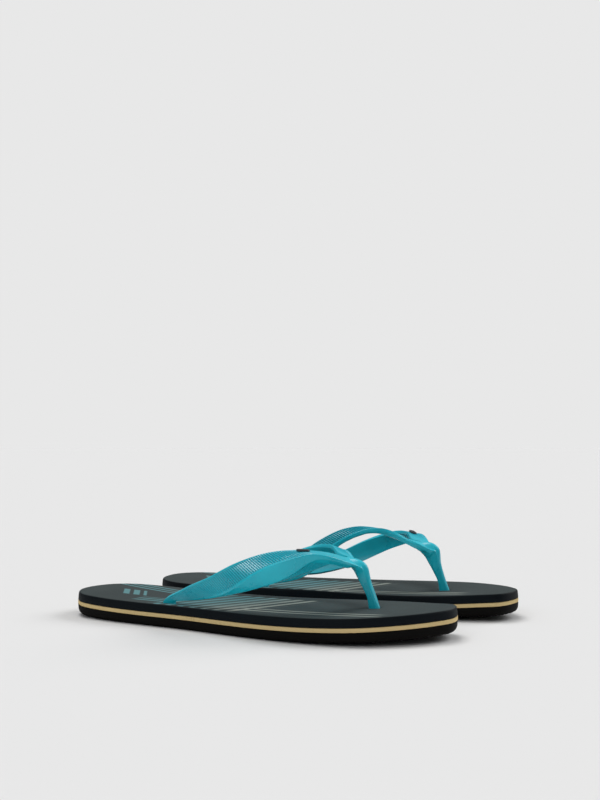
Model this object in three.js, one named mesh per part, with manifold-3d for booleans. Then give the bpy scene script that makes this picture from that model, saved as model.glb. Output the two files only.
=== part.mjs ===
// A pair of thong sandals (flip flops): on each one a sole laminated from three foam layers, a moulded
// Y-shaped strap anchored through the sole at three plugs, and a small metal badge pinned to the strap.
// Millimetres, +Z up, +X towards the toes. The right sandal lies at -Y and the left one at +Y.
// One sandal is drawn in its own frame: u runs from the heel to the toes, v to the big-toe side, w up
// from the floor. The left sandal is the right one mirrored in v.
import * as THREE from "three";
import { mergeVertices } from "three/addons/utils/BufferGeometryUtils.js";
import Module from "manifold-3d";

// ---- Sole
const sole_length = 285;
const sole_width = 91;
const outsole_thick = 6.4;
const midsole_thick = 2.6;
const footbed_thick = 5.9;
const bond_gap = 0.3; // between two layers
const toe_spring = 4.8; // how far the tip of the toe curls up from the floor
const toe_spring_run = 135; // length of the curled part
const heel_spring = 2.0;
const heel_spring_run = 85;
// Outline seen from above: share of the length, then the outer and the inner edge as shares of the width.
const sole_plan = [
  [0.015, -0.17, 0.25],
  [0.06, -0.315, 0.39],
  [0.14, -0.38, 0.44],
  [0.25, -0.41, 0.42],
  [0.38, -0.435, 0.385],
  [0.51, -0.485, 0.39],
  [0.63, -0.525, 0.435],
  [0.74, -0.525, 0.47],
  [0.84, -0.455, 0.45],
  [0.92, -0.29, 0.39],
  [0.975, -0.095, 0.33],
];
const toe_tip_share = 0.09; // sideways place of the toe's tip, as a share of the width

// ---- Wall of each layer: height above the layer's underside, and how far the wall is set in there
const outsole_wall = [[0, 2.6], [1.2, 1.1], [3.2, 0.3], [outsole_thick, 0]];
const midsole_wall = [[0, 0], [midsole_thick, 0]];
const footbed_wall = [[0, 0.1], [3.4, 0.5], [footbed_thick - 0.8, 1.2], [footbed_thick, 2.2]];

// ---- Tread: shallow grooves across the underside
const groove_width = 1.6;
const groove_depth = 0.9;
const groove_pitch = 12;
const groove_margin = 22; // bare ends at the heel and the toes

// ---- Strap
const side_plug_u = 94; // from the heel to the two side plugs
const side_plug_in = 10.5; // from the sole's edge in to each side plug
const toe_plug_back = 54; // from the tip of the toe back to the toe plug
const toe_plug_v = 7;
const arch_height = 41; // of the arms' highest edge above the footbed
const strap_thick = 2.8;
const blade_width = 11; // of an arm where it enters the sole
const post_long = 3.7; // half of the toe post along the foot, at its base
const post_wide = 3.0; // half of the toe post across the foot
const stem_clearance = 0.35; // between a stem or plug and its hole, all round
const plug_radius = 7;
const plug_thick = 2.4;
const plug_inset = 0.5; // the plug's face lies this far above the sole's underside
const root_rise = 0.6; // from the footbed's top up to an arm's straight root
const root_depth = 0.9; // from the footbed's top down to where an arm joins its stem
const fork_overlap = 1.2; // how far each arm runs on past the middle of the fork
// Three edges of an arm's outer face, from the side plug to the fork above the toe post. Each point is the
// share of the way from the side plug to the toe plug, the spread (0 over the toe plug, 1 over the side
// plug), and the share of the arch's height.
const instep_edge = [
  [0.1, 1.1, 0.24],
  [0.26, 1.23, 0.47],
  [0.44, 1.28, 0.76],
  [0.6, 1.19, 0.94],
  [0.71, 0.93, 0.975],
  [0.8, 0.37, 0.91],
  [0.86, 0, 0.79],
];
const ridge = [
  [0.19, 1.1, 0.11],
  [0.34, 1.32, 0.27],
  [0.55, 1.46, 0.59],
  [0.71, 1.4, 0.82],
  [0.83, 1.07, 0.925],
  [0.905, 0.5, 0.79],
  [0.95, 0, 0.61],
];
const toe_edge = [
  [0.185, 1.05, 0.09],
  [0.36, 1.2, 0.2],
  [0.57, 1.33, 0.385],
  [0.75, 1.29, 0.6],
  [0.85, 0.98, 0.8],
  [0.915, 0.46, 0.735],
  [0.954, 0, 0.56],
];
// The toe post from its stem up to the fork: share of the lean, share of the rise from the footbed, and how
// much longer and wider than its base it is there.
const post_stages = [
  [0, 0, 0, 0],
  [0.14, 0.3, 0, 0],
  [0.48, 0.65, 0, 0],
  [0.84, 0.88, 0.3, 0.8],
  [1, 1, 0.8, 1.8],
];
const post_set_forward = 4.5; // of the post's head ahead of the middle of the fork
// How each soft arm has settled: its height as a share of the arch, and how far its crown leans back.
const arm_set = {
  right: { outer: { rise: 1, back: 0 }, inner: { rise: 0.98, back: 2 } },
  left: { outer: { rise: 1.02, back: 0 }, inner: { rise: 1.2, back: 14 } },
};

// ---- Badge on the outer arm
const badge_length = 9;
const badge_width = 4.6;
const badge_thick = 0.9;
const badge_seat = 0.3; // from the strap's face to the badge's underside
const badge_along = 0.68; // share of the way along the arm
const badge_across = 0.3; // share of the way from the instep edge to the ridge
const badge_pin_radius = 1.0;
const badge_pin_length = 1.9;
const badge_pin_clearance = 0.25;

// ---- The pair
const pair_spacing = 107.7; // between the two soles' middles, across
const pair_stagger = 14.4; // how far the left sandal lies ahead of the right one
const toe_out = THREE.MathUtils.degToRad(3);

// ---- Fineness of the curves
const outline_samples = 900;
const outline_stations = 23; // points along each side of the sole
const end_station = 0.3; // how near the first and last stations lie to the ends, in steps
const arm_steps = 36;
const post_sides = 14;
const round_steps = 10; // on a half circle
const cut_margin = 1; // how far a cutter runs past the face that it cuts

// ---- Derived places
const toe_plug_u = sole_length - toe_plug_back;
const midsole_floor = outsole_thick + bond_gap;
const footbed_floor = midsole_floor + midsole_thick + bond_gap;
const sole_top = footbed_floor + footbed_thick;

const wasm = await Module();
wasm.setup();

// A closed geometry as a solid for cutting and joining.
function solidOf(geometry) {
  const bare = geometry.clone();
  bare.deleteAttribute("normal");
  bare.deleteAttribute("uv");
  const merged = mergeVertices(bare, 1e-4);
  return new wasm.Manifold(
    new wasm.Mesh({
      numProp: 3,
      vertProperties: merged.attributes.position.array,
      triVerts: new Uint32Array(merged.index.array),
    }),
  );
}

// The geometry of a solid.
function geometryOf(solid) {
  const mesh = solid.getMesh();
  const geometry = new THREE.BufferGeometry();
  geometry.setAttribute("position", new THREE.BufferAttribute(mesh.vertProperties, 3));
  geometry.setIndex(new THREE.BufferAttribute(mesh.triVerts, 1));
  geometry.computeVertexNormals();
  return geometry;
}

// A closed skin through rings of points. Each ring runs out along one side and back along the other, so its
// first point faces its last one, and both ends are closed by strips between facing points.
function skin(rings, flipped = false) {
  const count = rings[0].length;
  const index = [];
  const triangle = (a, b, c) => index.push(...(flipped ? [a, c, b] : [a, b, c]));
  const quad = (a, b, c, d) => {
    triangle(a, b, c);
    triangle(a, c, d);
  };
  for (let r = 0; r < rings.length - 1; r++) {
    for (let i = 0; i < count; i++) {
      const next = (i + 1) % count;
      quad(r * count + i, r * count + next, (r + 1) * count + next, (r + 1) * count + i);
    }
  }
  const top = (rings.length - 1) * count;
  for (let i = 0; i < count / 2 - 1; i++) {
    const far = count - 1 - i;
    quad(i, far, far - 1, i + 1);
    quad(top + i, top + i + 1, top + far - 1, top + far);
  }
  const geometry = new THREE.BufferGeometry().setFromPoints(rings.flat());
  geometry.setIndex(index);
  return geometry;
}

// Height of the sole's underside above the floor, at a distance from the heel.
function springAt(u) {
  const toe = Math.max(0, (u - sole_length + toe_spring_run) / toe_spring_run);
  const heel = Math.max(0, (heel_spring_run - u) / heel_spring_run);
  return toe_spring * toe ** 2 + heel_spring * heel ** 2;
}

// The outer and the inner edge of the sole, each as a dense run of points from the heel to the toe's tip.
function soleEdges() {
  const place = (along, across) => new THREE.Vector3(along * sole_length, across * sole_width, 0);
  const outer = sole_plan.map(([along, across]) => place(along, across));
  const inner = sole_plan.map(([along, , across]) => place(along, across)).reverse();
  const loop = [place(0, 0), ...outer, place(1, toe_tip_share), ...inner];
  const dense = new THREE.CatmullRomCurve3(loop, true).getSpacedPoints(outline_samples);
  const tip = dense.reduce((best, p, i) => (p.x > dense[best].x ? i : best), 0);
  return { outer: dense.slice(0, tip + 1), inner: dense.slice(tip).reverse() };
}
const edges_of_sole = soleEdges();

// How far across one edge of the sole lies, at a distance from the heel.
function acrossAt(edge, u) {
  const next = edge.findIndex((p) => p.x >= u);
  const [a, b] = [edge[next - 1], edge[next]];
  return a.y + ((b.y - a.y) * (u - a.x)) / (b.x - a.x);
}

// The sole's outline as facing pairs of points, at stations that crowd towards the heel and the toes.
function soleOutline() {
  const outer = [];
  const inner = [];
  const last = outline_stations - 1;
  for (let i = 0; i <= last; i++) {
    const angle = (Math.PI * (i + end_station)) / (last + 2 * end_station);
    const u = (sole_length / 2) * (1 - Math.cos(angle));
    outer.push(new THREE.Vector2(u, acrossAt(edges_of_sole.outer, u)));
    inner.unshift(new THREE.Vector2(u, acrossAt(edges_of_sole.inner, u)));
  }
  return [...outer, ...inner];
}

// The outline set in by a distance, at a height above the sole's underside.
function soleRing(outline, inset, height) {
  return outline.map((p, i) => {
    const before = outline.at(i - 1);
    const after = outline[(i + 1) % outline.length];
    const inward = new THREE.Vector2(before.y - after.y, after.x - before.x).normalize();
    return new THREE.Vector3(
      p.x + inward.x * inset,
      p.y + inward.y * inset,
      springAt(p.x) + height,
    );
  });
}

// One foam layer, before its holes are cut.
function soleLayer(floor, wall) {
  const outline = soleOutline();
  return solidOf(skin(wall.map(([height, inset]) => soleRing(outline, inset, floor + height))));
}

// A round or long upright prism: a stadium of two half circles, standing at (u, v).
function uprightPrism(u, v, half_length, radius, low, high) {
  const shape = new THREE.Shape();
  const straight = Math.max(0, half_length - radius);
  shape.absarc(straight, 0, radius, -Math.PI / 2, Math.PI / 2);
  shape.absarc(-straight, 0, radius, Math.PI / 2, (3 * Math.PI) / 2);
  const options = { depth: high - low, bevelEnabled: false, curveSegments: round_steps };
  return solidOf(new THREE.ExtrudeGeometry(shape, options).translate(u, v, low));
}

// The three places where the strap goes through the sole.
const side_plug_v = {
  outer: acrossAt(edges_of_sole.outer, side_plug_u) + side_plug_in,
  inner: acrossAt(edges_of_sole.inner, side_plug_u) - side_plug_in,
};
const blade = { u: side_plug_u, half_length: blade_width / 2, radius: strap_thick / 2 };
const anchors = [
  { ...blade, v: side_plug_v.outer },
  { ...blade, v: side_plug_v.inner },
  { u: toe_plug_u, v: toe_plug_v, half_length: post_long, radius: post_wide },
];

// Cuts the stem holes through a layer.
function withStemHoles(layer) {
  let cut = layer;
  const high = sole_top + toe_spring + cut_margin;
  for (const { u, v, half_length, radius } of anchors) {
    const c = stem_clearance;
    cut = cut.subtract(uprightPrism(u, v, half_length + c, radius + c, -cut_margin, high));
  }
  return cut;
}

// The black bottom layer, with its plug recesses and tread grooves.
function makeOutsole() {
  let outsole = withStemHoles(soleLayer(0, outsole_wall));
  for (const { u, v } of anchors) {
    const radius = plug_radius + stem_clearance;
    const roof = springAt(u) + plug_inset + plug_thick + stem_clearance;
    outsole = outsole.subtract(uprightPrism(u, v, radius, radius, -cut_margin, roof));
  }
  const grooves = Math.floor((sole_length - 2 * groove_margin) / groove_pitch);
  const first = (sole_length - grooves * groove_pitch) / 2;
  for (let i = 0; i <= grooves; i++) {
    const u = first + i * groove_pitch;
    const roof = springAt(u) + groove_depth;
    const cutter = new THREE.BoxGeometry(groove_width, 2 * sole_width, roof + cut_margin);
    outsole = outsole.subtract(solidOf(cutter.translate(u, 0, (roof - cut_margin) / 2)));
  }
  return geometryOf(outsole);
}

function makeMidsole() {
  return geometryOf(withStemHoles(soleLayer(midsole_floor, midsole_wall)));
}

function makeFootbed() {
  return geometryOf(withStemHoles(soleLayer(footbed_floor, footbed_wall)));
}

// The three edge curves of one arm's outer face, settled as the sandal's set says.
function armEdges(arm, set) {
  const { rise, back } = set[arm];
  const side = arm === "outer" ? -1 : 1;
  const face_v = side_plug_v[arm] + (side * strap_thick) / 2;
  const place = ([along, spread, height]) => {
    const free = Math.min(1, spread); // the fork itself stays put
    return new THREE.Vector3(
      THREE.MathUtils.lerp(side_plug_u, toe_plug_u, along) - back * height * free,
      THREE.MathUtils.lerp(toe_plug_v, face_v, spread),
      sole_top + height * arch_height * THREE.MathUtils.lerp(1, rise, free),
    );
  };
  const edge = (root_offset, keys) => {
    const root = new THREE.Vector3(side_plug_u + root_offset, face_v, sole_top + root_rise);
    const sunk = root.clone().setZ(sole_top - root_depth);
    const fork = place(keys.at(-1));
    const past = fork.clone().setY(fork.y - side * fork_overlap);
    return new THREE.CatmullRomCurve3([sunk, root, ...keys.map(place), past]);
  };
  const reach = blade_width / 2 - strap_thick / 2 + stem_clearance; // keeps the corners inside the hole
  return [edge(-reach, instep_edge), edge(reach - stem_clearance, ridge), edge(reach, toe_edge)];
}

// The outer face of an arm at a share of the way along it: its edge points and inward directions.
function armSection(edges, arm, along) {
  const [a, b, c] = edges.map((edge) => edge.getPoint(along));
  const forward = edges[1].getTangent(along);
  if (arm === "inner") forward.negate();
  const band = new THREE.Vector3().crossVectors(forward, b.clone().sub(a)).normalize();
  const facet_span = c.clone().sub(b).addScaledVector(b.clone().sub(a), 0.25);
  const facet = new THREE.Vector3().crossVectors(forward, facet_span).normalize();
  const fold = band.clone().add(facet).normalize();
  return { a, b, c, band, facet, fold };
}

// One arm of the strap: a band that turns from upright at the side plug to level at the fork.
function strapArm(arm, set) {
  const edges = armEdges(arm, set);
  const rings = [];
  for (let i = 0; i <= arm_steps; i++) {
    const { a, b, c, band, facet, fold } = armSection(edges, arm, i / arm_steps);
    const inside = (point, direction) => point.clone().addScaledVector(direction, strap_thick);
    rings.push([a, b, c, inside(c, facet), inside(b, fold), inside(a, band)]);
  }
  return solidOf(skin(rings, arm === "inner"));
}

// The toe post: it rises from its stem, leans back and widens into the fork.
function toePost() {
  const fork_along = (instep_edge.at(-1)[0] + ridge.at(-1)[0]) / 2;
  const fork_u = THREE.MathUtils.lerp(side_plug_u, toe_plug_u, fork_along);
  const fork_w = sole_top + arch_height * ridge.at(-1)[2] - strap_thick / 2;
  const lean = fork_u + post_set_forward - toe_plug_u;
  const rise = fork_w - sole_top;
  const ring = (share, w, long, wide) =>
    Array.from({ length: post_sides }, (_, i) => {
      const angle = (2 * Math.PI * (i + 0.5)) / post_sides;
      return new THREE.Vector3(
        toe_plug_u + share * lean - long * Math.cos(angle),
        toe_plug_v - wide * Math.sin(angle),
        w,
      );
    });
  const stem_top = springAt(toe_plug_u) + plug_inset + plug_thick;
  const rings = [ring(0, stem_top - stem_clearance, post_long, post_wide)];
  for (const [share, height, longer, wider] of post_stages) {
    const w = sole_top + springAt(toe_plug_u) * (1 - height) + height * rise;
    rings.push(ring(share, w, post_long + longer, post_wide + wider));
  }
  return solidOf(skin(rings));
}

// Where the badge sits: a frame on the outer arm's band, z out of the strap and x along it.
function badgeFrame(set) {
  const edges = armEdges("outer", set);
  const { a, b, band } = armSection(edges, "outer", badge_along);
  const out = band.clone().negate();
  const forward = edges[0].getTangent(badge_along);
  const along = forward.addScaledVector(out, -forward.dot(out)).normalize();
  const across = new THREE.Vector3().crossVectors(out, along);
  const frame = new THREE.Matrix4().makeBasis(along, across, out);
  return frame.setPosition(a.clone().lerp(b, badge_across));
}

// The whole strap: two arms, the toe post, and a stem and a flat plug at each of the three anchors.
function makeStrap(set) {
  let strap = strapArm("outer", set).add(strapArm("inner", set)).add(toePost());
  for (const { u, v, half_length, radius } of anchors) {
    const floor = springAt(u) + plug_inset;
    const stem_top = u === toe_plug_u ? floor + plug_thick + cut_margin : sole_top - stem_clearance;
    strap = strap.add(uprightPrism(u, v, half_length, radius, floor, stem_top));
    strap = strap.add(uprightPrism(u, v, plug_radius, plug_radius, floor, floor + plug_thick));
  }
  const bore = badge_pin_radius + badge_pin_clearance;
  const depth = badge_pin_length + badge_pin_clearance;
  const hole = new THREE.CylinderGeometry(bore, bore, depth + cut_margin, 2 * round_steps);
  hole.rotateX(Math.PI / 2).translate(0, 0, (cut_margin - depth) / 2).applyMatrix4(badgeFrame(set));
  return geometryOf(strap.subtract(solidOf(hole)));
}

// A plain pill-shaped badge on a short pin.
function makeBadge() {
  const radius = badge_width / 2;
  const top = badge_seat + badge_thick;
  const plate = uprightPrism(0, 0, badge_length / 2, radius, badge_seat, top);
  const pin_height = badge_pin_length + badge_seat + badge_thick / 2;
  const pin = new THREE.CylinderGeometry(badge_pin_radius, badge_pin_radius, pin_height, 2 * round_steps);
  pin.rotateX(Math.PI / 2).translate(0, 0, pin_height / 2 - badge_pin_length);
  return geometryOf(plate.add(solidOf(pin)));
}

const colours = {
  outsole: { color: 0x14161a, roughness: 0.85, metalness: 0 },
  midsole: { color: 0xc9b88a, roughness: 0.85, metalness: 0 },
  footbed: { color: 0x1d2930, roughness: 0.6, metalness: 0 },
  strap: { color: 0x1fa3b8, roughness: 0.45, metalness: 0 },
  badge: { color: 0x3a4148, roughness: 0.35, metalness: 1 },
};

// One sandal as a group of its five pieces.
function makeSandal(name) {
  const sandal = new THREE.Group();
  const addPiece = (piece, geometry) => {
    const mesh = new THREE.Mesh(geometry, new THREE.MeshStandardMaterial(colours[piece]));
    mesh.name = name + "_" + piece;
    sandal.add(mesh);
    return mesh;
  };
  addPiece("outsole", makeOutsole());
  addPiece("midsole", makeMidsole());
  addPiece("footbed", makeFootbed());
  addPiece("strap", makeStrap(arm_set[name]));
  const badge = addPiece("badge", makeBadge());
  badge.applyMatrix4(badgeFrame(arm_set[name]));
  for (const piece of sandal.children) piece.position.x -= sole_length / 2;
  return sandal;
}

const pair = new THREE.Group();
const right = makeSandal("right");
right.position.set(-pair_stagger / 2, -pair_spacing / 2, 0);
right.rotation.z = -toe_out;
const left = makeSandal("left");
left.position.set(pair_stagger / 2, pair_spacing / 2, 0);
left.rotation.z = toe_out;
left.scale.y = -1;
pair.add(right, left);

// The origin is the middle of the pair's box, on the floor.
const box = new THREE.Box3().setFromObject(pair, true);
const middle = box.getCenter(new THREE.Vector3());
for (const sandal of [right, left]) sandal.position.sub(new THREE.Vector3(middle.x, middle.y, box.min.z));

export default pair;
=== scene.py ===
import math

import bmesh
import bpy
from mathutils import Matrix, Vector


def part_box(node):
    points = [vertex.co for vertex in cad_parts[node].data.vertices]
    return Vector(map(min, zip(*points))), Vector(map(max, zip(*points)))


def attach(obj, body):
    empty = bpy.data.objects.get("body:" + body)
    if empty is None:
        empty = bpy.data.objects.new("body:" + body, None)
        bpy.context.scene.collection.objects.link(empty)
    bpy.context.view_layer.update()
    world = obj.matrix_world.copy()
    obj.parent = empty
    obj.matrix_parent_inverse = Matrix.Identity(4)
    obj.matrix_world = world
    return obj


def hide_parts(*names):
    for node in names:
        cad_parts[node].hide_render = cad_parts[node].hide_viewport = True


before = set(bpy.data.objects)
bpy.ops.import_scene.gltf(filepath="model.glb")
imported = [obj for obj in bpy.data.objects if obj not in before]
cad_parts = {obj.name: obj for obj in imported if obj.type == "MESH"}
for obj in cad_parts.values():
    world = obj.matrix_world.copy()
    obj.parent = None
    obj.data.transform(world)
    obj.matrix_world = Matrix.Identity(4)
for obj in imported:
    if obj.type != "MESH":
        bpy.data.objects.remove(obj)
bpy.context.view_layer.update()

scene = bpy.context.scene

# ==== Studio: a plain pale floor that runs to the horizon under a soft white sky, brightest overhead, and
# three broad lights: one nearly overhead, one behind the pair and a weak one in front. The camera stands
# low at the outer side of the right sandal.
scene.view_settings.view_transform = "Standard"
backdrop_white = 0.807
sky_low, sky_high = 0.16, 0.42
world = bpy.data.worlds.new("studio sky")
scene.world = world
world.use_nodes = True
sky = world.node_tree
sky.nodes.clear()
direction = sky.nodes.new("ShaderNodeTexCoord")
height = sky.nodes.new("ShaderNodeSeparateXYZ")
sky.links.new(direction.outputs["Generated"], height.inputs[0])
glow = sky.nodes.new("ShaderNodeMapRange")
glow.inputs["To Min"].default_value = sky_low
glow.inputs["To Max"].default_value = sky_high
sky.links.new(height.outputs["Z"], glow.inputs["Value"])
seen = sky.nodes.new("ShaderNodeLightPath")
choice = sky.nodes.new("ShaderNodeMix")
sky.links.new(seen.outputs["Is Camera Ray"], choice.inputs["Factor"])
sky.links.new(glow.outputs["Result"], choice.inputs["A"])
choice.inputs["B"].default_value = backdrop_white
background = sky.nodes.new("ShaderNodeBackground")
sky.links.new(choice.outputs["Result"], background.inputs["Color"])
sky_out = sky.nodes.new("ShaderNodeOutputWorld")
sky.links.new(background.outputs[0], sky_out.inputs[0])


def sun(name, strength, spread, azimuth, elevation):
    """A light at infinity: spread is its width in the sky, azimuth is where it stands, seen from above."""
    data = bpy.data.lights.new(name, "SUN")
    data.energy = strength
    data.angle = math.radians(spread)
    light = bpy.data.objects.new(name, data)
    turn, lift = math.radians(azimuth), math.radians(elevation)
    towards = Vector((math.cos(turn) * math.cos(lift), math.sin(turn) * math.cos(lift), math.sin(lift)))
    light.rotation_euler = towards.to_track_quat("Z", "Y").to_euler()
    scene.collection.objects.link(light)


sun("overhead_softbox", 1.3, 30, 150, 70)
sun("back_softbox", 1.3, 40, 55, 35)
sun("camera_side_softbox", 0.4, 40, -100, 34)

floor_radius = 400.0
floor_white = 0.783
floor_mesh = bpy.data.meshes.new("studio_floor")
slab = bmesh.new()
bmesh.ops.create_circle(slab, cap_ends=True, segments=96, radius=floor_radius)
slab.to_mesh(floor_mesh)
slab.free()
studio_floor = bpy.data.objects.new("studio_floor", floor_mesh)
scene.collection.objects.link(studio_floor)
floor_paint = bpy.data.materials.new("pale studio floor")
floor_paint.use_nodes = True
floor_shader = floor_paint.node_tree.nodes["Principled BSDF"]
floor_shader.inputs["Base Color"].default_value = (floor_white, floor_white, floor_white, 1)
floor_shader.inputs["Roughness"].default_value = 1.0
floor_shader.inputs["Specular IOR Level"].default_value = 0.0
floor_mesh.materials.append(floor_paint)

camera_back = 0.775
camera_height = 0.1208
camera_heading = math.radians(25.42)
camera_bearing = math.radians(25.64)
camera_tilt = math.radians(2.58)
camera_lens = 63.6
camera_data = bpy.data.cameras.new("camera")
camera_data.sensor_fit = "HORIZONTAL"
camera_data.sensor_width = 36.0
camera_data.lens = camera_lens
camera = bpy.data.objects.new("camera", camera_data)
camera.location = (
    camera_back * math.sin(camera_bearing), -camera_back * math.cos(camera_bearing), camera_height
)
camera.rotation_euler = (math.pi / 2 + camera_tilt, 0, camera_heading)
scene.collection.objects.link(camera)
scene.camera = camera

# ==== The sandal's own frame, in millimetres: u from the heel to the toes, v to the big-toe side, w up from
# the floor. The sole's outline and its spring belong to all three foam layers.
mm = 0.001  # one millimetre, in metres
sandals = {"right": 1, "left": -1}  # the left one is the right one mirrored
toe_out = math.radians(3)
sole_length, sole_width = 285.0, 91.0
sole_plan = [  # share of the length, then the outer and the inner edge as shares of the width
    (0.015, -0.17, 0.25), (0.06, -0.315, 0.39), (0.14, -0.38, 0.44), (0.25, -0.41, 0.42),
    (0.38, -0.435, 0.385), (0.51, -0.485, 0.39), (0.63, -0.525, 0.435), (0.74, -0.525, 0.47),
    (0.84, -0.455, 0.45), (0.92, -0.29, 0.39), (0.975, -0.095, 0.33),
]
toe_tip_share = 0.09
toe_spring, toe_spring_run = 4.8, 135.0
heel_spring, heel_spring_run = 2.0, 85.0
outline_steps = 11  # between two points of the plan
cut_snap, cut_reach = 1e-4, 1e-3  # how near to a cut a corner is taken as on it, or as past it


def smooth_run(keys, at):
    """A point on the centripetal curve through the keys, where at counts the keys."""
    first = max(0, min(int(at), len(keys) - 2))
    p1, p2 = keys[first], keys[first + 1]
    p0 = keys[first - 1] if first else 2 * p1 - p2
    p3 = keys[first + 2] if first + 2 < len(keys) else 2 * p2 - p1
    d0, d1, d2 = ((b - a).length ** 0.5 for a, b in ((p0, p1), (p1, p2), (p2, p3)))
    start = ((p1 - p0) / d0 - (p2 - p0) / (d0 + d1) + (p2 - p1) / d1) * d1
    end = ((p2 - p1) / d1 - (p3 - p1) / (d1 + d2) + (p3 - p2) / d2) * d1
    t = at - first
    return (
        p1 * (2 * t**3 - 3 * t**2 + 1) + start * (t**3 - 2 * t**2 + t)
        + p2 * (3 * t**2 - 2 * t**3) + end * (t**3 - t**2)
    )


def spring_at(u):
    """How far the sole curls up from the floor."""
    toe = max(0.0, (u - sole_length + toe_spring_run) / toe_spring_run)
    heel = max(0.0, (heel_spring_run - u) / heel_spring_run)
    return toe_spring * toe**2 + heel_spring * heel**2


def outline_points():
    """The sole's closed outline seen from above."""
    outer = [Vector((s * sole_length, o * sole_width, 0)) for s, o, _ in sole_plan]
    inner = [Vector((s * sole_length, i * sole_width, 0)) for s, _, i in reversed(sole_plan)]
    loop = [Vector((0, 0, 0)), *outer, Vector((sole_length, toe_tip_share * sole_width, 0)), *inner]
    keys = [loop[-1], *loop, loop[0], loop[1]]
    count = len(loop) * outline_steps
    return [smooth_run(keys, 1 + step / outline_steps) for step in range(count)]


outline = outline_points()


def sole_ring(inset, height):
    """The outline set in by a distance, at a height."""
    ring = []
    for i, point in enumerate(outline):
        run = outline[(i + 1) % len(outline)] - outline[i - 1]
        inward = Vector((-run.y, run.x, 0)).normalized()
        ring.append(point + inward * inset + Vector((0, 0, height)))
    return ring


def edge_across(u, side):
    """How far across one edge of the sole lies at a distance from the heel."""
    half = [p for p in outline if (p.y - p.x * toe_tip_share * sole_width / sole_length) * side > 0]
    return min(half, key=lambda p: abs(p.x - u)).y


def sandal_place(name):
    """From the sandal's frame in millimetres to the model's in metres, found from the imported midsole."""
    side = sandals[name]
    turn = Matrix.Rotation(-side * toe_out, 4, "Z") @ Matrix.Diagonal((mm, side * mm, mm, 1))
    turned = [turn @ p for p in outline]
    low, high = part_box(name + "_midsole")
    middle = [(max(p[i] for p in turned) + min(p[i] for p in turned)) / 2 for i in (0, 1)]
    shift = Vector(((low.x + high.x) / 2 - middle[0], (low.y + high.y) / 2 - middle[1], 0))
    return Matrix.Translation(shift) @ turn


def add_ring(bm, points):
    """A closed loop of edges through the points."""
    verts = bmesh.ops.create_circle(bm, segments=len(points), radius=1.0)["verts"]
    for vert, point in zip(verts, points):
        vert.co = point
    return list(dict.fromkeys(edge for vert in verts for edge in vert.link_edges))


def slice_across(bm, stations):
    """Cuts every face at the stations, from the heel to the toes, so that the layer can bend there."""
    todo = bm.verts[:] + bm.edges[:] + bm.faces[:]
    for u in stations:
        cut = bmesh.ops.bisect_plane(
            bm, geom=todo, dist=cut_snap, plane_co=(u, 0, 0), plane_no=(1, 0, 0)
        )["geom"]
        todo = []
        for part in cut:
            verts = [part] if isinstance(part, bmesh.types.BMVert) else part.verts
            if max(vert.co.x for vert in verts) > u - cut_reach:
                todo.append(part)


def layer(wall, holes):
    """A foam layer: its wall as (height, inset) from the underside up, and its holes as stacks of rings."""
    bm = bmesh.new()
    stacks = [[add_ring(bm, sole_ring(inset, height)) for height, inset in wall]]
    stacks += [[add_ring(bm, ring) for ring in hole] for hole in holes]
    for stack in stacks:
        for low, high in zip(stack, stack[1:]):
            bmesh.ops.bridge_loops(bm, edges=low + high)
    for level in (0, -1):
        rims = [edge for stack in stacks for edge in stack[level]]
        bmesh.ops.triangle_fill(bm, use_beauty=True, edges=rims)
    return bm


def bend(bm):
    """Curls a flat layer up at the toes and the heel."""
    for vert in bm.verts:
        vert.co.z += spring_at(vert.co.x)


def finish_piece(bm, sandal, piece, material, crease=35):
    """Puts a copy of the mesh in its place on one sandal, as a piece of the finished model.

    Edges that turn by more than crease degrees stay sharp.
    """
    side = sandals[sandal]
    made = bm.copy()
    plan = made.loops.layers.uv.new("plan")
    for face in made.faces:
        face.smooth = True
        for loop in face.loops:
            loop[plan].uv = (loop.vert.co.x * mm, side * loop.vert.co.y * mm)
    bmesh.ops.transform(made, matrix=sandal_place(sandal), verts=made.verts)
    bmesh.ops.recalc_face_normals(made, faces=made.faces)
    for edge in made.edges:
        if len(edge.link_faces) == 2 and edge.calc_face_angle(0) > math.radians(crease):
            edge.smooth = False
    name = sandal + "_" + piece
    mesh = bpy.data.meshes.new(name + "_finished")
    made.to_mesh(mesh)
    made.free()
    mesh.materials.append(material)
    thing = bpy.data.objects.new(name + "_finished", mesh)
    scene.collection.objects.link(thing)
    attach(thing, sandal + "_sandal")
    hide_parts(name)


# ==== Anchors: where the strap's stems go through the three layers. The two side stems are flat blades and
# the toe stem is a rounded bar. Each ends in a round plug that sits in a recess under the sole.
side_plug_u, side_plug_in = 94.0, 10.5
toe_plug_u, toe_plug_v = sole_length - 54.0, 7.0
strap_thick, blade_width = 2.8, 11.0
post_long, post_wide = 3.7, 3.0
stem_clearance = 0.35
plug_radius, plug_thick, plug_inset = 7.0, 2.4, 0.5
side_plug_v = {
    "outer": edge_across(side_plug_u, -1) + side_plug_in,
    "inner": edge_across(side_plug_u, 1) - side_plug_in,
}
anchors = [
    (side_plug_u, side_plug_v["outer"], blade_width / 2, strap_thick / 2),
    (side_plug_u, side_plug_v["inner"], blade_width / 2, strap_thick / 2),
    (toe_plug_u, toe_plug_v, post_long, post_wide),
]
ring_points = 36


def stem_ring(anchor, grow, height):
    """A ring round a stem, grow outside it."""
    u, v, half_length, radius = anchor
    ring = []
    for i in range(ring_points):
        angle = math.tau * (i + 0.5) / ring_points
        straight = math.copysign(half_length - radius, math.cos(angle))
        out = radius + grow
        ring.append(Vector((u + straight + out * math.cos(angle), v + out * math.sin(angle), height)))
    return ring


def plug_ring(anchor, radius, height):
    """A round ring about a stem's middle."""
    turns = [math.tau * (i + 0.5) / ring_points for i in range(ring_points)]
    u, v = anchor[:2]
    return [Vector((u + radius * math.cos(a), v + radius * math.sin(a), height)) for a in turns]


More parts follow.
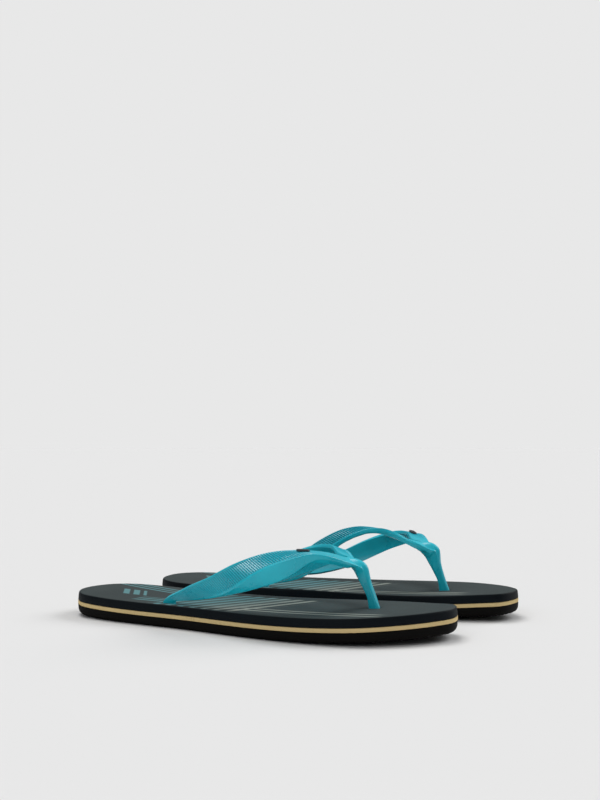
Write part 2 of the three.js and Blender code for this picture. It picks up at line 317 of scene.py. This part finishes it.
# ==== Foam grain, shared by the three foams: closed cells a fraction of a millimetre across, over a slow
# change of shade that every pressed foam sheet has.
slow_shade_scale = 28.0
streak_scale = (900.0, 900.0, 90.0)  # drawn out along the height
streak_middle = 0.15
foam_gloss = 0.1
rough_spread = 0.06
cell_depth = 0.0002  # in metres


def new_group(name, inputs, outputs):
    """A node group with inputs as (name, kind, value) and plain number outputs, and its two ends."""
    group = bpy.data.node_groups.new(name, "ShaderNodeTree")
    for label, kind, value in inputs:
        socket = group.interface.new_socket(name=label, in_out="INPUT", socket_type=kind)
        if value is not None:
            socket.default_value = value
    for label in outputs:
        group.interface.new_socket(name=label, in_out="OUTPUT", socket_type="NodeSocketFloat")
    return group, group.nodes.new("NodeGroupInput"), group.nodes.new("NodeGroupOutput")


def maths(tree, operation, first, second=None):
    """A Math node on sockets or numbers. Returns its output."""
    node = tree.nodes.new("ShaderNodeMath")
    node.operation = operation
    for socket, value in zip(node.inputs, (first, second)):
        if isinstance(value, (int, float)):
            socket.default_value = value
        elif value is not None:
            tree.links.new(value, socket)
    return node.outputs[0]


def ramp(tree, value, low, high, to_low=0.0, to_high=1.0):
    """A smooth step from to_low to to_high as the value goes from low to high."""
    node = tree.nodes.new("ShaderNodeMapRange")
    node.interpolation_type = "SMOOTHSTEP"
    tree.links.new(value, node.inputs["Value"])
    for label, number in (("From Min", low), ("From Max", high), ("To Min", to_low), ("To Max", to_high)):
        node.inputs[label].default_value = number
    return node.outputs["Result"]


grain, grain_in, grain_out = new_group(
    "foam grain",
    [("Vector", "NodeSocketVector", None), ("Cells", "NodeSocketFloat", 2200.0),
     ("Streaks", "NodeSocketFloat", 0.3)],
    ["Height", "Shade"],
)
cells = grain.nodes.new("ShaderNodeTexVoronoi")
grain.links.new(grain_in.outputs["Vector"], cells.inputs["Vector"])
grain.links.new(grain_in.outputs["Cells"], cells.inputs["Scale"])
slow = grain.nodes.new("ShaderNodeTexNoise")
slow.inputs["Scale"].default_value = slow_shade_scale
slow.inputs["Detail"].default_value = 5.0
grain.links.new(grain_in.outputs["Vector"], slow.inputs["Vector"])
streak_space = grain.nodes.new("ShaderNodeMapping")
streak_space.inputs["Scale"].default_value = streak_scale
grain.links.new(grain_in.outputs["Vector"], streak_space.inputs["Vector"])
streaks = grain.nodes.new("ShaderNodeTexNoise")
streaks.inputs["Scale"].default_value = 1.0
streaks.inputs["Detail"].default_value = 3.0
grain.links.new(streak_space.outputs[0], streaks.inputs["Vector"])
streak_part = maths(grain, "MULTIPLY", streaks.outputs["Fac"], grain_in.outputs["Streaks"])
grain.links.new(maths(grain, "ADD", cells.outputs["Distance"], streak_part), grain_out.inputs["Height"])
streak_shade = maths(grain, "SUBTRACT", streak_part, streak_middle)
mixed_shade = maths(grain, "ADD", slow.outputs["Fac"], streak_shade)
grain.links.new(mixed_shade, grain_out.inputs["Shade"])


def colour_mix(tree, mask, low, high):
    """Mixes two colours, each a socket or three linear numbers."""
    node = tree.nodes.new("ShaderNodeMix")
    node.data_type = "RGBA"
    tree.links.new(mask, node.inputs[0])
    for socket, value in ((node.inputs[6], low), (node.inputs[7], high)):
        if isinstance(value, tuple):
            socket.default_value = (*value, 1.0)
        else:
            tree.links.new(value, socket)
    return node.outputs[2]


def foam(name, dark, light, cells_per_metre, streaks, roughness, relief):
    """A foam material. Returns it with its tree, its shader, and its shade and colour sockets."""
    material = bpy.data.materials.new(name)
    material.use_nodes = True
    tree = material.node_tree
    shader = tree.nodes["Principled BSDF"]
    place = tree.nodes.new("ShaderNodeTexCoord")
    cell = tree.nodes.new("ShaderNodeGroup")
    cell.node_tree = grain
    cell.inputs["Cells"].default_value = cells_per_metre
    cell.inputs["Streaks"].default_value = streaks
    tree.links.new(place.outputs["Object"], cell.inputs["Vector"])
    colour = colour_mix(tree, ramp(tree, cell.outputs["Shade"], 0.25, 0.75), dark, light)
    tree.links.new(colour, shader.inputs["Base Color"])
    rough = ramp(tree, cell.outputs["Shade"], 0.2, 0.8, roughness - rough_spread, roughness + rough_spread)
    tree.links.new(rough, shader.inputs["Roughness"])
    bump = tree.nodes.new("ShaderNodeBump")
    bump.inputs["Strength"].default_value = relief
    bump.inputs["Distance"].default_value = cell_depth
    tree.links.new(cell.outputs["Height"], bump.inputs["Height"])
    tree.links.new(bump.outputs[0], shader.inputs["Normal"])
    shader.inputs["Specular IOR Level"].default_value = foam_gloss
    return material, tree, shader, cell.outputs["Shade"], colour


# ==== Outsole: black foam rubber, die-cut with its lower edge ground back. A broad groove every 12 mm and
# finer ones between them run across the underside, and three recesses hold the strap's plugs.
outsole_thick = 6.4
outsole_wall = [(0, 2.6), (0.5, 1.75), (1.2, 1.1), (2.0, 0.65), (3.2, 0.3), (outsole_thick - 0.3, 0.05),
                (outsole_thick, 0.3)]
tread_pitch, tread_first = 12.0, 22.5
broad_groove, fine_groove = (1.6, 0.9), (0.8, 0.45)  # width and depth
fine_grooves = 5  # between two broad ones
groove_slope = 0.12
groove_margin = 1.5  # no groove is nearer than this to the tip of the heel or of the toes
tread_height = 1.3  # the grooves run out through the ground edge below this height


def groove_list():
    """The grooves across the underside: (middle, width, depth), from the heel to the toes."""
    grooves = []
    periods = int((sole_length - tread_first) / tread_pitch) + 1
    for period in range(-2, periods + 1):
        for step in range(fine_grooves + 1):
            middle = tread_first + tread_pitch * (period + step / (fine_grooves + 1))
            broad = step == 0 and 0 <= period < periods
            width, depth = broad_groove if broad else fine_groove
            if groove_margin < middle < sole_length - groove_margin:
                grooves.append((middle, width, depth))
    return grooves


grooves = groove_list()
recess_radius = plug_radius + stem_clearance
outsole_holes = []
for anchor in anchors:
    roof = plug_inset + plug_thick + stem_clearance
    outsole_holes.append([
        plug_ring(anchor, recess_radius, 0), plug_ring(anchor, recess_radius, roof),
        stem_ring(anchor, stem_clearance, roof), stem_ring(anchor, stem_clearance, outsole_thick),
    ])
outsole = layer(outsole_wall, outsole_holes)
cuts = []
for middle, width, _ in grooves:
    for edge in (-width / 2, width / 2):
        cuts += [middle + edge - groove_slope / 2, middle + edge + groove_slope / 2]
slice_across(outsole, sorted(cuts))
for vert in outsole.verts:
    if vert.co.z < tread_height:
        near = min(grooves, key=lambda groove: abs(groove[0] - vert.co.x))
        if abs(near[0] - vert.co.x) < near[1] / 2:
            vert.co.z += near[2] * (1 - vert.co.z / tread_height)
bend(outsole)
black_foam = foam(
    "black foam rubber", (0.0014, 0.0012, 0.001), (0.0034, 0.003, 0.0025), 1800.0, 0.5, 0.72, 0.35
)[0]
for sandal in sandals:
    finish_piece(outsole, sandal, "outsole", black_foam)
outsole.free()

# ==== Midsole: one thin sheet of beige foam glued between the two dark layers, cut flush with the outsole's
# top. Its cut edge shows the open cells.
bond_gap = 0.3
midsole_floor = outsole_thick + bond_gap
midsole_thick = 2.6
midsole_edge = 0.25
midsole_wall = [(0, midsole_edge), (midsole_edge, 0.0), (midsole_thick / 2, 0.0),
                (midsole_thick - midsole_edge, 0.0), (midsole_thick, midsole_edge)]
midsole_wall = [(midsole_floor + height, inset) for height, inset in midsole_wall]
slice_pitch = 7.5  # between the cuts that let the midsole and the footbed bend
stations = [slice_pitch * step for step in range(1, int(sole_length / slice_pitch))]


def straight_holes(floor, top):
    """The three holes for the stems, straight through a layer."""
    return [[stem_ring(anchor, stem_clearance, h) for h in (floor, top)] for anchor in anchors]


midsole = layer(midsole_wall, straight_holes(midsole_floor, midsole_floor + midsole_thick))
slice_across(midsole, stations)
bend(midsole)
beige_foam = foam("beige foam", (0.48, 0.35, 0.155), (0.72, 0.55, 0.27), 1500.0, 0.9, 0.85, 0.5)[0]
for sandal in sandals:
    finish_piece(midsole, sandal, "midsole", beige_foam)
midsole.free()

# ==== Footbed: soft navy foam with a rounded top edge. The foam dips where the strap pulls it down. A
# pattern of stripes is printed on the top, the same way round on both sandals.
footbed_floor = midsole_floor + midsole_thick + bond_gap
footbed_thick = 5.9
footbed_wall = [(0, 0.25), (0.2, 0.1), (1.8, 0.15), (3.8, 0.35), (4.8, 0.55), (5.3, 0.8), (5.6, 1.15),
                (5.8, 1.7), (footbed_thick, 2.6)]
footbed_wall = [(footbed_floor + height, inset) for height, inset in footbed_wall]
sole_top = footbed_floor + footbed_thick
dip = [(0.05, 1.5), (0.4, 0.75), (1.2, 0.35), (2.6, 0.1), (4.5, 0.0)]  # distance from the stem, depth
footbed_holes = []
for anchor in anchors:
    rings = [stem_ring(anchor, stem_clearance, footbed_floor)]
    rings += [stem_ring(anchor, distance, sole_top - depth) for distance, depth in dip]
    footbed_holes.append(rings)
footbed = layer(footbed_wall, footbed_holes)
slice_across(footbed, stations)
bend(footbed)
navy_foam, tree, shader, shade, navy = foam(
    "printed navy foam", (0.0016, 0.0038, 0.006), (0.0032, 0.0065, 0.0095), 2600.0, 0.25, 0.6, 0.25
)
print_map = tree.nodes.new("ShaderNodeUVMap")
print_map.uv_map = "plan"
plan_xyz = tree.nodes.new("ShaderNodeSeparateXYZ")
tree.links.new(print_map.outputs[0], plan_xyz.inputs[0])
along, across = (maths(tree, "MULTIPLY", plan_xyz.outputs[axis], 1 / mm) for axis in ("X", "Y"))


def band_mask(value, low, high, soft):
    """1 between low and high, with soft edges."""
    return maths(tree, "MULTIPLY", ramp(tree, value, low - soft, low + soft),
                 ramp(tree, value, high - soft, high + soft, 1.0, 0.0))


def stripes(value, pitch, share, soft=0.06):
    """1 on a share of each pitch."""
    phase = maths(tree, "PINGPONG", maths(tree, "DIVIDE", value, pitch), 0.5)
    return ramp(tree, phase, share / 2 - soft, share / 2 + soft, 1.0, 0.0)


def slanted(slope):
    """The distance from the heel, measured along slanted lines."""
    return maths(tree, "SUBTRACT", along, maths(tree, "MULTIPLY", across, slope))


def patch(value, pitch, share, first_band, second_band):
    """Stripes of the value, printed only inside two bands, each as (value, low, high, softness)."""
    inside = maths(tree, "MULTIPLY", band_mask(*first_band), band_mask(*second_band))
    return maths(tree, "MULTIPLY", stripes(value, pitch, share), inside)


instep_lines, thin_lines, mark_lines = slanted(0.45), slanted(0.62), slanted(-0.7)
heel_run = maths(tree, "ADD", across, maths(tree, "MULTIPLY", along, 0.27))
toe_run, side_run = maths(tree, "ADD", across, 32.0), maths(tree, "ADD", across, 20.0)
instep_stripes = patch(instep_lines, 10.5, 0.46, (instep_lines, 100, 176, 1.5), (across, -41, 24, 2.0))
hairlines = patch(thin_lines, 5.2, 0.3, (instep_lines, 98, 158, 1.5), (across, -36, 18, 2.0))
printed = [
    patch(toe_run, 7.5, 0.32, (across, -38, -22, 0.5), (along, 150, 250, 6.0)),
    patch(heel_run, 6.0, 0.4, (heel_run, 26, 46, 0.5), (along, 6, 88, 4.0)),
    patch(side_run, 6.0, 0.4, (across, -28, -14, 0.5), (along, 62, 92, 3.0)),
    patch(mark_lines, 9.0, 0.6, (mark_lines, 31.5, 54.0, 0.5), (across, -9, 9, 0.5)),
]
hairline_cover, ink_cover = 0.55, 0.85  # how much of the ink shows
inked = maths(tree, "MAXIMUM", instep_stripes, maths(tree, "MULTIPLY", hairlines, hairline_cover))
for more in printed:
    inked = maths(tree, "MAXIMUM", inked, more)
# How far up a face has to look for the print and for the painted sheen to begin, and to be full.
ink_facing, painted_sheen_facing = (0.93, 0.985), (0.7, 0.95)
upward = tree.nodes.new("ShaderNodeNewGeometry")
facing = tree.nodes.new("ShaderNodeSeparateXYZ")
tree.links.new(upward.outputs["Normal"], facing.inputs[0])
inked = maths(tree, "MULTIPLY", inked, ramp(tree, facing.outputs["Z"], *ink_facing))
# Painted sheen: faces that look up get a lighter grey-navy than the dark walls, in place of the sheen the
# top catches.
painted_sheen = colour_mix(tree, ramp(tree, shade, 0.3, 0.7), (0.040, 0.053, 0.054), (0.052, 0.066, 0.067))
navy = colour_mix(tree, ramp(tree, facing.outputs["Z"], *painted_sheen_facing), navy, painted_sheen)
ink = colour_mix(tree, ramp(tree, instep_lines, 120, 165), (0.12, 0.29, 0.31), (0.30, 0.33, 0.29))
inked = maths(tree, "MULTIPLY", inked, ink_cover)
tree.links.new(colour_mix(tree, inked, navy, ink), shader.inputs["Base Color"])
for sandal in sandals:
    finish_piece(footbed, sandal, "footbed", navy_foam)
footbed.free()

# ==== Strap: one soft moulding in turquoise plastic. Two arms rise from flat stems in the footbed, turn
# level over the foot and run down together into the toe post. Each arm has a ribbed band above a ridge and
# a smooth facet below it, and each of the three stems ends in a round plug under the sole.
arch_height = 41.0
root_rise, root_depth = 0.6, 0.9  # how far above and below the footbed's top an arm's root runs straight
# The three edges of an arm: shares of the way from its stem to the toe post, of the way across from the post
# to the stem, and of the arch's height.
instep_edge = [(0.1, 1.1, 0.24), (0.26, 1.23, 0.47), (0.44, 1.28, 0.76), (0.6, 1.19, 0.94),
               (0.71, 0.93, 0.975), (0.8, 0.37, 0.91), (0.86, 0, 0.79)]
ridge = [(0.19, 1.1, 0.11), (0.34, 1.32, 0.27), (0.55, 1.46, 0.59), (0.71, 1.4, 0.82), (0.83, 1.07, 0.925),
         (0.905, 0.5, 0.79)]
toe_edge = [(0.185, 1.05, 0.09), (0.36, 1.2, 0.2), (0.57, 1.33, 0.385), (0.75, 1.29, 0.6),
            (0.85, 0.98, 0.8), (0.915, 0.46, 0.735)]
# How each soft arm has settled: its height, how far its crown leans back, how far it sags beside the fork,
# and the share of the facet that has rolled under.
arm_set = {
    ("right", "outer"): (1.0, 0.0, 0.0, 0.0), ("right", "inner"): (0.98, 2.0, 2.6, 0.35),
    ("left", "outer"): (1.02, 0.0, 1.2, 0.6), ("left", "inner"): (1.2, 14.0, 0.0, 0.9),
}
sag_reach = (0.72, 0.84)  # shares of the arm between which the sag comes in
sag_back = 1.3  # how far a sagging arm slides back, as a share of its sag
fork_bulge = {"right": (0.0, 1.2), "left": (1.8, 4.5)}  # forward and up, at the top of the post
bulge_shares = (0.8, 1.0, 0.9, 0.3, 0.0, 0.0)  # down the front of the fork and the post
corner_bulge, heel_bulge = 0.8, 0.6  # how much of it the front and the back corner follow
# The fork and the toe post, as (u, distance from the post's middle plane, w): down the middle of the front,
# the front corner, the back corner, and the middle of the back.
fork_front = [(211.8, 0, 47.9), (220.0, 0, 46.4), (225.4, 0, 43.2), (228.0, 0, 34.6), (231.8, 0, 24.6),
              (234.7, 0, 17.2)]
fork_corner = [(221.6, 5.4, 43.0), (224.2, 4.0, 41.2), (225.4, 3.1, 37.6), (228.0, 2.7, 30.8),
               (231.2, 2.5, 24.0), (233.4, 2.4, 17.2)]
fork_heel_corner = [(220.4, 6.2, 40.6), (220.3, 3.8, 37.6), (221.2, 3.1, 34.2), (224.3, 2.8, 28.9),
                    (227.3, 2.6, 23.0), (228.5, 2.5, 17.2)]
fork_back = [(212.6, 0, 44.9), (216.4, 0, 41.0), (219.1, 0, 36.6), (222.8, 0, 30.4), (226.1, 0, 23.8),
             (227.3, 0, 17.2)]
rib_pitch, rib_depth = 1.8, 0.5
rib_start, rib_fade = 6.0, 3.0  # how far along the arm the ribs come in, and over what distance
rib_end = (6.0, 7.0)  # keys between which the ribs fade out
steps_per_rib = 6
search_step = 0.01  # of a key
ribbed_points = range(4, 11)  # of a section, which the ribs press in
band_shares = (0.05, 0.1, 0.2, 0.35, 0.5, 0.65, 0.8, 0.86, 0.9)
ribbed_shares = band_shares[1:-1]
facet_start, root_ridge = (4.4, 2.1), 0.95  # at the root the ridge lies this near to the toe edge
facet_lean = 0.25  # how much the facet's inside turns towards the band's
roll_starts, roll_ends = (1.2, 4.4), (7.7, 5.2)  # keys between which a rolled facet turns under and back
ridge_roll = 0.5  # how much of the roll the ridge follows
slim_starts, slim_ends, fork_slimming = (4.4, 6.2), (8.6, 7.4), 0.4  # a narrower facet near the fork
rim_radius, toe_edge_radius = 0.7, 0.8
ridge_radius, ridge_widening, ridge_widens = 0.5, 0.6, 4.5  # at the root, by how much more, from what key
bead_height = 0.7  # the rim along the ridge, which grows towards the fork and shrinks down the post
bead_grows, bead_shrinks, bead_loss = (2.0, 4.6), (8.5, 10.0), 0.6
band_crown = 0.5  # how far out the band's arc is pulled
merge_run = 0.8  # before the fork, where an arm's own back turns into its half of the post's back
post_back_shares = (0.2, 0.6)  # how far towards the middle the post's back corner and its fold lie
post_front_round, post_back_round = 0.75, 0.8  # how far across the arcs of the post's half are pulled
heading_step = 0.02  # of a key
fork_key = 8  # of the edge curves, where the two arms meet
last_key = 13
join_key = 7.6  # from here on both arms have the same stations, so that their halves of the post meet
post_steps = 108
plug_bevel = 0.5
seam_reach, seam_weld = 1e-3, 0.01  # how near to the post's middle plane, and to each other, points meet


def step_between(value, low, high):
    """0 before low and 1 after high, or the other way round where low is above high."""
    t = max(0.0, min(1.0, (value - low) / (high - low)))
    return t * t * (3 - 2 * t)


def arm_curves(sandal, arm):
    """The guide curves of one arm and its half of the toe post, as lists of keys (u, off, w)."""
    rise, back, sag, _ = arm_set[sandal, arm]
    span = abs(side_plug_v[arm] - toe_plug_v) + strap_thick / 2
    reach = blade_width / 2 - strap_thick / 2 + stem_clearance

    def place(share, spread, lift):
        free = min(1.0, spread)
        beside_fork = sag * step_between(share, *sag_reach) * min(1.0, 2 * spread)
        u = side_plug_u + share * (toe_plug_u - side_plug_u) - back * lift * free - sag_back * beside_fork
        w = sole_top + lift * arch_height * (1 + (rise - 1) * free) - beside_fork
        return Vector((u, spread * span, w))

    def root(offset):
        return [Vector((side_plug_u + offset, span, sole_top + w)) for w in (-root_depth, root_rise)]

    ahead, up = fork_bulge[sandal]
    bulges = [Vector((ahead * share, 0, up * share)) for share in bulge_shares]
    keys = [place(*key) for key in instep_edge]
    keys[-1] += bulges[0]
    mirrored = Vector((keys[-2].x, -keys[-2].y, keys[-2].z))
    front = root(-reach) + keys + [mirrored]
    post_front = [Vector(key) + bulge for key, bulge in zip(fork_front, bulges)]
    fork_edge = [Vector(key) + bulge * corner_bulge for key, bulge in zip(fork_corner, bulges)]
    corner = root(reach - stem_clearance) + [place(*key) for key in ridge] + fork_edge
    under_edge = [Vector(key) + bulge * heel_bulge for key, bulge in zip(fork_heel_corner, bulges)]
    heel = root(reach) + [place(*key) for key in toe_edge] + under_edge
    back_keys = [Vector(key) for key in fork_back]
    return front, post_front, corner, heel, back_keys, arm_set[sandal, arm][3]


def round_corner(before, corner, after, radius, steps=2):
    """Points that round a corner off."""
    to_before = (before - corner).normalized() * min(radius, (before - corner).length / 2)
    to_after = (after - corner).normalized() * min(radius, (after - corner).length / 2)
    shares = [step / steps for step in range(steps + 1)]
    return [corner + to_before * (1 - t) ** 2 + to_after * t**2 for t in shares]


def arc_point(start, control, end, t):
    """A point on the arc that leaves the start towards the control point and ends at the end."""
    return start * (1 - t) ** 2 + control * 2 * t * (1 - t) + end * t**2


def heading(curve, at):
    """The direction in which a guide curve runs at a key."""
    return (smooth_run(curve, at + heading_step) - smooth_run(curve, at - heading_step)).normalized()


def arm_section(curves, at, rib):
    """The closed ring of points round an arm or its half of the post, at a key of the guide curves.

    The outside runs from the instep edge over the ribbed band to the ridge, and over the facet to the toe
    edge. The inside comes back one thickness further in.
    """
    front, post_front, corner, heel, back_keys, rolled = curves
    instep = smooth_run(front, at) if at < fork_key else smooth_run(post_front, at - fork_key)
    turned = rolled * step_between(at, *roll_starts) * step_between(at, *roll_ends)
    crest = smooth_run(corner, at).lerp(instep, ridge_roll * turned)
    slimmed = fork_slimming * step_between(at, *slim_starts) * step_between(at, *slim_ends)
    toe = smooth_run(heel, at).lerp(crest, max(turned, slimmed))
    crest = crest.lerp(toe, root_ridge * (1 - rolled) * step_between(at, *facet_start))
    forward = heading(corner, at)
    band = (crest - instep).cross(forward).normalized()
    facet = ((toe - crest) + (crest - instep) * facet_lean).cross(forward).normalized()
    fold = (band + facet).normalized()
    merged = step_between(at, fork_key - merge_run, fork_key)
    if at < fork_key:
        back = instep + (back_keys[0] - post_front[0])
    else:
        back = smooth_run(back_keys, at - fork_key)
    toe_back, fold_back = (toe.lerp(back, share) for share in post_back_shares)
    instep_in = (instep + band * strap_thick).lerp(back, merged)
    toe_in = (toe + facet * strap_thick).lerp(toe_back, merged)
    crest_in = (crest + fold * strap_thick).lerp(fold_back, merged)
    post_top = Vector((instep.x, instep.y + post_front_round * crest.y, instep.z))
    post_under = Vector((back.x, back.y + post_back_round * toe.y, back.z))
    top_control = ((instep + crest) / 2 - band * band_crown).lerp(post_top, merged)
    under_control = crest_in.lerp(post_under, merged)
    rim = rim_radius * (1 - merged)
    fold_radius = ridge_radius + ridge_widening * step_between(at, ridge_widens, fork_key)
    top = [arc_point(instep, top_control, crest, t) for t in band_shares]
    for i, t in enumerate(band_shares):
        if t in ribbed_shares:
            top[i] = top[i] + band * rib
    ring = round_corner(instep_in, instep, top[0], rim)
    ring += top
    bead = bead_height * step_between(at, *bead_grows) * (1 - bead_loss * step_between(at, *bead_shrinks))
    ring += round_corner(top[-1], crest - fold * bead, toe, fold_radius, 4)
    ring += [crest.lerp(toe, 0.5)]
    ring += round_corner(crest, toe, toe_in, toe_edge_radius)
    under = [arc_point(toe_in, under_control, instep_in, t) for t in (0.0, 0.25, 0.5, 0.75)]
    ring += under
    ring += round_corner(under[-1], instep_in, instep, rim)
    return ring


def rib_phase_keys(curves):
    """Stations along an arm, as (key of the guide curves, rib's depth there)."""
    front, _, corner = curves[:3]
    fine = [search_step * step for step in range(round(join_key / search_step))]
    middles = [(smooth_run(front, at) + smooth_run(corner, at)) / 2 for at in fine]
    stations = []
    travelled, wanted = 0.0, 0.0
    for i in range(1, len(fine)):
        leg = (middles[i] - middles[i - 1]).length
        while travelled + leg >= wanted:
            at = fine[i - 1] + search_step * (wanted - travelled) / leg
            fade = step_between(wanted, rib_start - rib_fade, rib_start + rib_fade)
            fade *= 1 - step_between(at, *rib_end)
            wave = 0.5 - 0.5 * math.cos(math.tau * wanted / rib_pitch)
            stations.append((at, rib_depth * fade * wave))
            wanted += rib_pitch / steps_per_rib
        travelled += leg
    rest = [join_key + (last_key - join_key) * step / post_steps for step in range(post_steps + 1)]
    return stations + [(at, 0.0) for at in rest]


def plug_rings(points, middle, floor):
    """The rings of a plug below a stem's ring, which turns into a round one with the same points."""
    top = floor + plug_thick
    rings = [[Vector((p.x, p.y, top)) for p in points]]
    for radius, w in ((plug_radius - plug_bevel, top), (plug_radius, top - plug_bevel),
                      (plug_radius, floor + plug_bevel), (plug_radius - plug_bevel, floor)):
        rings.append([])
        for p in points:
            flat = Vector((p.x - middle.x, p.y - middle.y, 0)).normalized() * radius
            rings[-1].append(Vector((middle.x + flat.x, middle.y + flat.y, w)))
    return rings


def half_strap(bm, sandal, arm):
    """One arm with its half of the toe post, from the plug under the arm to the plug under the toes."""
    curves = arm_curves(sandal, arm)
    stations = rib_phase_keys(curves)
    sections = [arm_section(curves, at, rib) for at, rib in stations]
    span = abs(side_plug_v[arm] - toe_plug_v)
    side_floor = spring_at(side_plug_u) + plug_inset
    toe_floor = spring_at(toe_plug_u) + plug_inset
    side_end = plug_rings(sections[0], Vector((side_plug_u, span, 0)), side_floor)
    toe_end = plug_rings(sections[-1], Vector((toe_plug_u, 0, 0)), toe_floor)
    for ring in toe_end:
        ring[0].y = ring[-1].y = 0.0
    outward = -1 if arm == "outer" else 1
    rings = [*reversed(side_end), *sections, *toe_end]
    rows, columns = len(rings) - 1, len(rings[0])
    sheet = bmesh.ops.create_grid(bm, x_segments=rows, y_segments=columns, size=0.5)["verts"]
    pressed = bm.verts.layers.float["groove"]
    depths = [0.0] * len(side_end) + [rib / rib_depth for _, rib in stations] + [0.0] * len(toe_end)
    for vert in sheet:
        row = round((vert.co.x + 0.5) * rows)
        column = round((vert.co.y + 0.5) * columns) % columns
        p = rings[row][column]
        vert.co = (p.x, toe_plug_v + outward * p.y, p.z)
        vert[pressed] = depths[row] if column in ribbed_points else 0.0


turquoise = bpy.data.materials.new("turquoise soft plastic")
turquoise.use_nodes = True
tree = turquoise.node_tree
shader = tree.nodes["Principled BSDF"]
place = tree.nodes.new("ShaderNodeTexCoord")
cloud = tree.nodes.new("ShaderNodeTexNoise")
cloud.inputs["Scale"].default_value = 45.0
cloud.inputs["Detail"].default_value = 4.0
tree.links.new(place.outputs["Object"], cloud.inputs["Vector"])
cloudy = ramp(tree, cloud.outputs["Fac"], 0.3, 0.7)
tint = colour_mix(tree, cloudy, (0.002, 0.47, 0.60), (0.006, 0.55, 0.68))
# Painted shade: the colour is darkened by the ribs' groove depth, in place of the shade that falls inside
# the grooves.
groove = tree.nodes.new("ShaderNodeAttribute")
groove.attribute_name = "groove"
painted_groove_shade = 0.55
painted_groove_mask = maths(tree, "MULTIPLY", groove.outputs["Fac"], painted_groove_shade)
tint_with_painted_shade = colour_mix(tree, painted_groove_mask, tint, (0.0, 0.16, 0.23))
tree.links.new(tint_with_painted_shade, shader.inputs["Base Color"])
tree.links.new(ramp(tree, cloud.outputs["Fac"], 0.3, 0.7, 0.26, 0.33), shader.inputs["Roughness"])
matte = tree.nodes.new("ShaderNodeTexNoise")
matte.inputs["Scale"].default_value = 3500.0
matte.inputs["Detail"].default_value = 2.0
tree.links.new(place.outputs["Object"], matte.inputs["Vector"])
bump = tree.nodes.new("ShaderNodeBump")
bump.inputs["Strength"].default_value = 0.12
bump.inputs["Distance"].default_value = 0.0001
tree.links.new(matte.outputs["Fac"], bump.inputs["Height"])
tree.links.new(bump.outputs[0], shader.inputs["Normal"])

for sandal in sandals:
    strap = bmesh.new()
    # The groove layer holds the ribs' depth, which the material turns into painted shade.
    strap.verts.layers.float.new("groove")
    for arm in ("outer", "inner"):
        half_strap(strap, sandal, arm)
    inner_walls = [
        face for face in strap.faces if all(abs(vert.co.y - toe_plug_v) < seam_reach for vert in face.verts)
    ]
    bmesh.ops.delete(strap, geom=inner_walls, context="FACES")
    bmesh.ops.remove_doubles(strap, verts=strap.verts, dist=seam_weld)
    bmesh.ops.holes_fill(strap, edges=[edge for edge in strap.edges if edge.is_boundary], sides=0)
    finish_piece(strap, sandal, "strap", turquoise, crease=50)
    strap.free()

# ==== Badge: a small plain pill of dark brushed metal with a rounded rim. It is pinned to the outer arm near
# the fork, and lies close above the ribs there.
badge_length, badge_width, badge_thick = 9.0, 4.6, 0.9
badge_rim = 0.35
badge_key = {"right": 6.05, "left": 6.12}
badge_across = 0.3  # share of the way from the instep edge to the ridge
badge_lift = 0.3
dark_metal = bpy.data.materials.new("dark brushed metal")
dark_metal.use_nodes = True
tree = dark_metal.node_tree
shader = tree.nodes["Principled BSDF"]
place = tree.nodes.new("ShaderNodeTexCoord")
brush_space = tree.nodes.new("ShaderNodeMapping")
brush_space.inputs["Scale"].default_value = (300.0, 6000.0, 6000.0)
tree.links.new(place.outputs["Object"], brush_space.inputs["Vector"])
brushed = tree.nodes.new("ShaderNodeTexNoise")
brushed.inputs["Scale"].default_value = 1.0
tree.links.new(brush_space.outputs[0], brushed.inputs["Vector"])
steel = colour_mix(tree, brushed.outputs["Fac"], (0.035, 0.045, 0.055), (0.08, 0.095, 0.11))
tree.links.new(steel, shader.inputs["Base Color"])
shader.inputs["Metallic"].default_value = 1.0
tree.links.new(ramp(tree, brushed.outputs["Fac"], 0.2, 0.8, 0.28, 0.42), shader.inputs["Roughness"])
for sandal in sandals:
    front, _, corner = arm_curves(sandal, "outer")[:3]
    at = badge_key[sandal]
    instep, crest = smooth_run(front, at), smooth_run(corner, at)
    out = -(crest - instep).cross(heading(corner, at)).normalized()
    run = heading(front, at)
    run = (run - out * run.dot(out)).normalized()
    middle = instep.lerp(crest, badge_across) + out * badge_lift
    badge = bmesh.new()
    disc = bmesh.ops.create_circle(badge, cap_ends=True, segments=40, radius=badge_width / 2)["verts"]
    for vert in disc:
        vert.co.x += math.copysign((badge_length - badge_width) / 2, vert.co.x)
    raised = bmesh.ops.extrude_face_region(badge, geom=badge.faces[:])["geom"]
    risen = [part for part in raised if isinstance(part, bmesh.types.BMVert)]
    bmesh.ops.translate(badge, verts=risen, vec=(0, 0, badge_thick))
    rim = [edge for edge in badge.edges if all(vert.co.z > badge_thick / 2 for vert in edge.verts)]
    bmesh.ops.bevel(badge, geom=rim, offset=badge_rim, affect="EDGES", segments=3, profile=0.5, material=-1)
    pose = Matrix.Identity(4)
    for column, axis in enumerate((run, out.cross(run), out)):
        pose.col[column][:3] = axis
    pose.col[3][:3] = middle
    bmesh.ops.transform(badge, matrix=pose, verts=badge.verts)
    to_outer_arm = Matrix.Translation((0, toe_plug_v, 0)) @ Matrix.Diagonal((1, -1, 1, 1))
    bmesh.ops.transform(badge, matrix=to_outer_arm, verts=badge.verts)
    finish_piece(badge, sandal, "badge", dark_metal, crease=25)
    badge.free()
